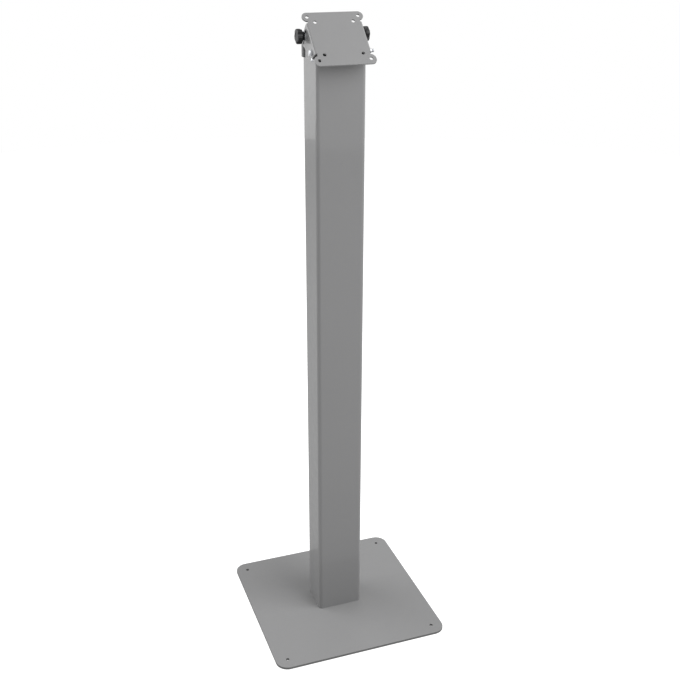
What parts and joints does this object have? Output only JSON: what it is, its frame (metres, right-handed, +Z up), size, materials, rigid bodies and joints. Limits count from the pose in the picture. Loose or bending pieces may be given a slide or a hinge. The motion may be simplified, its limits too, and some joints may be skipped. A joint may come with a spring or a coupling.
{
  "type": "tablet floor stand",
  "caption": "Free-standing floor stand with a square base plate, a rectangular tube column and a tilting tablet mounting plate clamped by two hand knobs.",
  "frame": {"origin": "centre of the base's footprint on the floor", "axes": "+Z up the column, -Y the front that the tablet plate faces, +X to the right seen from the front"},
  "size_m": [0.39, 0.39, 1.3158],
  "materials": {
    "grey_powder_coat": "satin silver-grey powder coat",
    "dark_powder_coat": "satin dark powder coat",
    "bare_steel": "mill finish steel",
    "zinc_steel": "bright zinc plate",
    "rubber": "matt rubber",
    "black_plastic": "fine textured nylon",
    "nylon": "smooth nylon",
    "knob_plastic": "satin moulded phenolic"
  },
  "bodies": {
    "stand": {"base_plate": "grey_powder_coat", "foot_pads": "rubber", "column_tube": "grey_powder_coat", "column_foot_plate": "bare_steel", "base_screws": "zinc_steel", "cable_grommet": "rubber", "top_cap": "black_plastic", "head_yoke": "dark_powder_coat", "yoke_side_screws": "zinc_steel", "yoke_rear_screws": "zinc_steel", "yoke_nuts": "zinc_steel", "pivot_bolt": "zinc_steel", "pivot_spacer": "zinc_steel", "pivot_washers": "zinc_steel", "pivot_nut": "zinc_steel", "friction_discs": "nylon", "clamp_nuts": "zinc_steel"},
    "tilt_head": {"tilt_plate": "grey_powder_coat"},
    "left_knob": {"knob_left": "knob_plastic", "stud_left": "zinc_steel", "stud_washer_left": "zinc_steel"},
    "right_knob": {"knob_right": "knob_plastic", "stud_right": "zinc_steel", "stud_washer_right": "zinc_steel"}
  },
  "joints": [
    {"name": "tilt", "type": "hinge", "parent": "stand", "child": "tilt_head", "pos_m": [0, -0.0225, 1.2495], "axis": [1, 0, 0], "range_deg": [-12.5, 15]},
    {"name": "left_knob_turn", "type": "hinge", "parent": "stand", "child": "left_knob", "pos_m": [-0.06, 0.01863, 1.2752], "axis": [-1, 0, 0], "range_deg": [0, 360]},
    {"name": "right_knob_turn", "type": "hinge", "parent": "stand", "child": "right_knob", "pos_m": [0.06, 0.01863, 1.2752], "axis": [1, 0, 0], "range_deg": [0, 360]}
  ]
}
